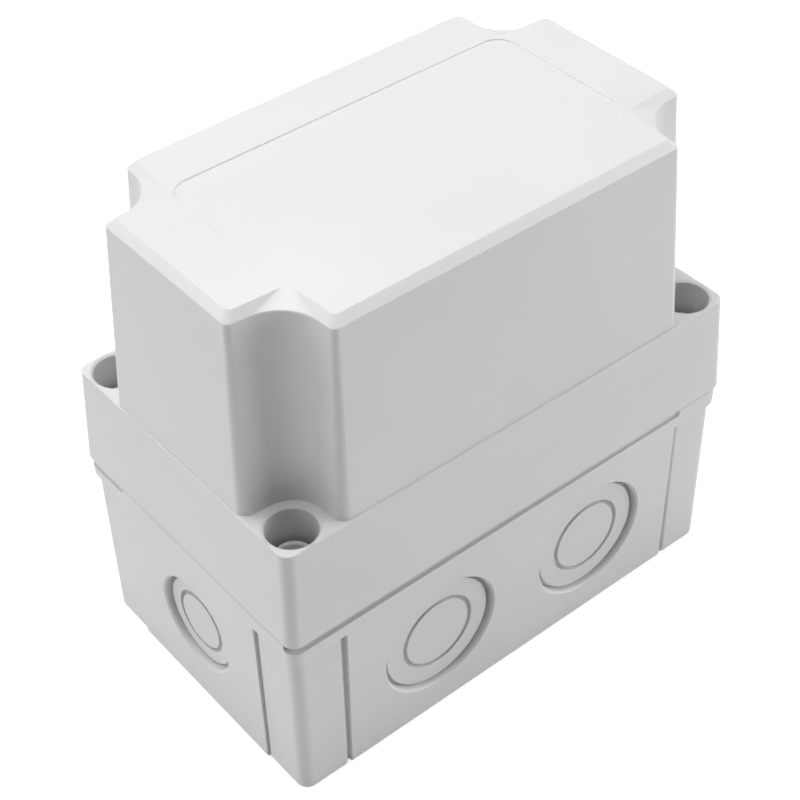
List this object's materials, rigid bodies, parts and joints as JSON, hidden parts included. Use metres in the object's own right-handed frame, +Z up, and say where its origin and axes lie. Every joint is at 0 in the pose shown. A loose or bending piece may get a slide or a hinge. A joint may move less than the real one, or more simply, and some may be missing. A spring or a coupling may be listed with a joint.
{
  "type": "hinged enclosure",
  "caption": "Small light-grey moulded enclosure with a deep hinged cover, screw wells in scooped corners, and round knockouts in the base walls.",
  "frame": {"origin": "centre of the base's flat underside", "axes": "+X along the long side to the viewer's right, +Y towards the hinged rear wall, +Z up from the underside to the cover's top"},
  "size_m": [0.13, 0.0878, 0.127],
  "materials": {
    "housing": "satin moulded polycarbonate, light grey",
    "gasket": "matte foamed seal",
    "screw": "satin glass-filled polyamide, grey",
    "washer": "matte rubber",
    "retainer": "natural polyamide",
    "brass": "turned and knurled",
    "pin": "drawn stainless steel"
  },
  "bodies": {
    "base": {"base": "housing", "hinge_pin_left": "pin", "hinge_pin_right": "pin", "tower_insert_front_left": "brass", "tower_insert_front_right": "brass", "tower_insert_rear_left": "brass", "tower_insert_rear_right": "brass", "plate_insert_front_left": "brass", "plate_insert_front_right": "brass", "plate_insert_rear_left": "brass", "plate_insert_rear_right": "brass"},
    "cover": {"cover": "housing", "cover_gasket": "gasket", "retaining_ring_front_left": "retainer", "retaining_ring_front_right": "retainer", "retaining_ring_rear_left": "retainer", "retaining_ring_rear_right": "retainer"},
    "washer_front_left": {"screw_washer_front_left": "washer"},
    "screw_front_left": {"cover_screw_front_left": "screw"},
    "washer_front_right": {"screw_washer_front_right": "washer"},
    "screw_front_right": {"cover_screw_front_right": "screw"},
    "washer_rear_left": {"screw_washer_rear_left": "washer"},
    "screw_rear_left": {"cover_screw_rear_left": "screw"},
    "washer_rear_right": {"screw_washer_rear_right": "washer"},
    "screw_rear_right": {"cover_screw_rear_right": "screw"}
  },
  "joints": [
    {"name": "cover_hinge", "type": "hinge", "parent": "base", "child": "cover", "pos_m": [0, 0.0442, 0.0505], "axis": [-1, 0, 0], "range_deg": [0, 110]},
    {"name": "screw_front_left_drive", "type": "slide", "parent": "cover", "child": "washer_front_left", "axis": [0, 0, -1], "range_m": [0, 0.0051]},
    {"name": "screw_front_left_turn", "type": "hinge", "parent": "washer_front_left", "child": "screw_front_left", "pos_m": [-0.05705, -0.03205, 0.064], "axis": [0, 0, -1], "range_deg": [0, 2700]},
    {"name": "screw_front_right_drive", "type": "slide", "parent": "cover", "child": "washer_front_right", "axis": [0, 0, -1], "range_m": [0, 0.0051]},
    {"name": "screw_front_right_turn", "type": "hinge", "parent": "washer_front_right", "child": "screw_front_right", "pos_m": [0.05705, -0.03205, 0.064], "axis": [0, 0, -1], "range_deg": [0, 2700]},
    {"name": "screw_rear_left_drive", "type": "slide", "parent": "cover", "child": "washer_rear_left", "axis": [0, 0, -1], "range_m": [0, 0.0051]},
    {"name": "screw_rear_left_turn", "type": "hinge", "parent": "washer_rear_left", "child": "screw_rear_left", "pos_m": [-0.05705, 0.03205, 0.064], "axis": [0, 0, -1], "range_deg": [0, 2700]},
    {"name": "screw_rear_right_drive", "type": "slide", "parent": "cover", "child": "washer_rear_right", "axis": [0, 0, -1], "range_m": [0, 0.0051]},
    {"name": "screw_rear_right_turn", "type": "hinge", "parent": "washer_rear_right", "child": "screw_rear_right", "pos_m": [0.05705, 0.03205, 0.064], "axis": [0, 0, -1], "range_deg": [0, 2700]}
  ],
  "couplings": [
    {"joint": "screw_front_left_turn", "follows": "screw_front_left_drive", "rad_per_m": 8976},
    {"joint": "screw_front_right_turn", "follows": "screw_front_right_drive", "rad_per_m": 8976},
    {"joint": "screw_rear_left_turn", "follows": "screw_rear_left_drive", "rad_per_m": 8976},
    {"joint": "screw_rear_right_turn", "follows": "screw_rear_right_drive", "rad_per_m": 8976}
  ]
}
